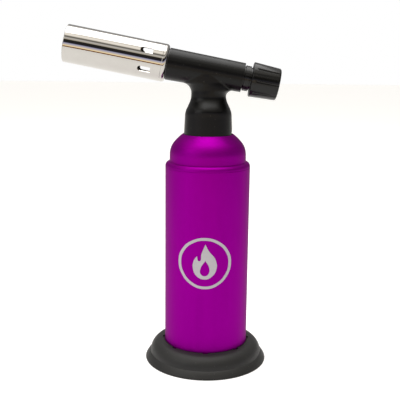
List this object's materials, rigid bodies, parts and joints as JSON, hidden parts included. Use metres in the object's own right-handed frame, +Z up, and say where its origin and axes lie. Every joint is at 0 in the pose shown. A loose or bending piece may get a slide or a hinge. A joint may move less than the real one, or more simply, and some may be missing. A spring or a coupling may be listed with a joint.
{
  "type": "lampwork torch",
  "caption": "Hand and bench butane torch: upright gas cylinder on a pull-off foot, tilted burner tube with air slots, and a knob that meters the gas and lights it",
  "frame": {"origin": "centre of the foot's underside, on the cylinder's axis, in the plane that the foot stands on", "axes": "+Z up along the gas cylinder, -X the way the burner points, +Y away from the side that carries the emblem"},
  "size_m": [0.1282, 0.075, 0.2039],
  "materials": {
    "foot_plastic": "moulded polypropylene, dark grey, matt",
    "purple_anodised": "bead-blasted aluminium, anodised purple, satin",
    "head_nylon": "moulded glass-filled nylon, black, fine spark texture",
    "knob_plastic": "moulded nylon, charcoal, matt",
    "collar_plastic": "turned acetal, black",
    "plated_steel": "nickel-chrome plate, polished",
    "stainless": "stainless steel, bright drawn",
    "brass": "turned brass",
    "rubber": "nitrile rubber",
    "tank_nylon": "moulded nylon, natural",
    "cap_plastic": "moulded nylon, black",
    "zinc_screw": "zinc-plated steel",
    "black_screw": "blackened steel",
    "wick_plastic": "extruded polyethylene",
    "spring_steel": "spring steel wire",
    "filter_bronze": "sintered bronze",
    "piezo_case": "moulded PBT, ivory",
    "black_acetal": "moulded acetal, black",
    "wire_silicone": "silicone insulation, red",
    "ceramic": "glazed alumina"
  },
  "bodies": {
    "torch": {"tank_sleeve": "purple_anodised", "fuel_tank": "tank_nylon", "tank_bottom_cap": "cap_plastic", "cap_screws": "zinc_screw", "wick_tube": "wick_plastic", "fill_valve_body": "brass", "fill_valve_spring": "spring_steel", "gas_inlet_tube": "brass", "inlet_o_ring": "rubber", "inlet_nut": "brass", "inlet_filter": "filter_bronze", "valve_body": "brass", "gland_nut": "brass", "gas_pipe": "brass", "jet": "brass", "mixing_tube": "stainless", "flame_holder": "stainless", "spacer_ring": "stainless", "burner_collar": "black_acetal", "burner_tube": "plated_steel", "piezo_body": "piezo_case", "ignition_wire": "wire_silicone", "ground_strip": "brass", "electrode_insulator": "ceramic", "electrode": "stainless", "head_shell_near": "head_nylon", "head_shell_far": "head_nylon", "head_screws": "black_screw", "rear_collar": "collar_plastic"},
    "foot": {"base_foot": "foot_plastic", "base_liner": "rubber"},
    "igniter": {"push_ring": "black_acetal", "piezo_plunger": "black_acetal"},
    "knob": {"control_knob": "knob_plastic"},
    "needle_slide": {"needle_o_ring": "rubber"},
    "needle": {"needle_spindle": "stainless"},
    "fill_stem": {"fill_valve_stem": "brass", "fill_valve_seal": "rubber"}
  },
  "joints": [
    {"name": "foot_pull", "type": "slide", "parent": "torch", "child": "foot", "axis": [0, 0, -1], "range_m": [0, 0.015]},
    {"name": "igniter_push", "type": "slide", "parent": "torch", "child": "igniter", "axis": [-0.9826, 0, 0.1857], "range_m": [0, 0.0038], "stiffness_N_per_m": 2500, "springref_m": -0.0015},
    {"name": "knob_turn", "type": "hinge", "parent": "igniter", "child": "knob", "pos_m": [0.02961, 0, 0.17242], "axis": [0.9826, 0, -0.1857], "range_deg": [0, 300]},
    {"name": "needle_travel", "type": "slide", "parent": "torch", "child": "needle_slide", "axis": [0.9826, 0, -0.1857], "range_m": [0, 0.0006]},
    {"name": "needle_turn", "type": "hinge", "parent": "needle_slide", "child": "needle", "pos_m": [0.02961, 0, 0.17242], "axis": [0.9826, 0, -0.1857], "range_deg": [0, 301]},
    {"name": "fill_press", "type": "slide", "parent": "torch", "child": "fill_stem", "axis": [0, 0, 1], "range_m": [0, 0.0015], "stiffness_N_per_m": 1500, "springref_m": -0.001, "deforming": ["fill_valve_spring"]}
  ],
  "couplings": [
    {"joint": "needle_travel", "follows": "knob_turn", "m_per_rad": 0.00011141},
    {"joint": "needle_turn", "follows": "knob_turn", "ratio": 1}
  ]
}
